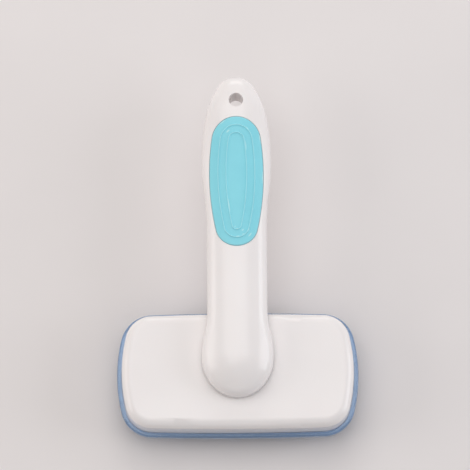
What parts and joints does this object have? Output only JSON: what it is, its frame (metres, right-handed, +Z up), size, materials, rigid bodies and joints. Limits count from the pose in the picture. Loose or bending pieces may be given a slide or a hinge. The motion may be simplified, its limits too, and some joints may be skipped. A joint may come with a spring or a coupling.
{
  "type": "slicker brush",
  "caption": "Pet slicker brush with bent wire pins; a press on its back cover slides a slotted plate down the pins against springs. The handle has a rubber grip and a hanging hole.",
  "frame": {"origin": "on the floor under the middle of the brush, which lies on its pin tips", "axes": "+Z up from the pin tips through the head's back, +Y from the head to the hanging hole end of the handle, X across the head"},
  "size_m": [0.1182, 0.1756, 0.0471],
  "materials": {
    "white_plastic": "glossy moulded, faintly warm white",
    "inner_plastic": "plain moulded white",
    "clear_blue_plastic": "translucent blue, glossy",
    "grip_rubber": "soft turquoise, satin",
    "pad_rubber": "grey, matt",
    "steel_wire": "bright drawn wire",
    "zinc_steel": "bright zinc plate"
  },
  "bodies": {
    "handle": {"handle_upper_shell": "white_plastic", "handle_lower_shell": "white_plastic", "thumb_grip": "grip_rubber", "handle_screw_neck": "zinc_steel", "handle_screw_tail": "zinc_steel", "pin_tray": "inner_plastic", "pin_pad": "pad_rubber", "wire_pins": "steel_wire", "tray_screw_1": "zinc_steel", "return_spring_1": "steel_wire", "tray_screw_2": "zinc_steel", "return_spring_2": "steel_wire", "tray_screw_3": "zinc_steel", "return_spring_3": "steel_wire", "tray_screw_4": "zinc_steel", "return_spring_4": "steel_wire"},
    "press_head": {"back_cover": "white_plastic", "ejector_plate": "clear_blue_plastic", "cover_screw_1": "zinc_steel", "cover_screw_2": "zinc_steel", "cover_screw_3": "zinc_steel", "cover_screw_4": "zinc_steel"}
  },
  "joints": [
    {"name": "head_press", "type": "slide", "parent": "handle", "child": "press_head", "axis": [0, 0, -1], "range_m": [0, 0.0095], "stiffness_N_per_m": 400, "springref_m": -0.004, "deforming": ["return_spring_1", "return_spring_2", "return_spring_3", "return_spring_4"]}
  ]
}
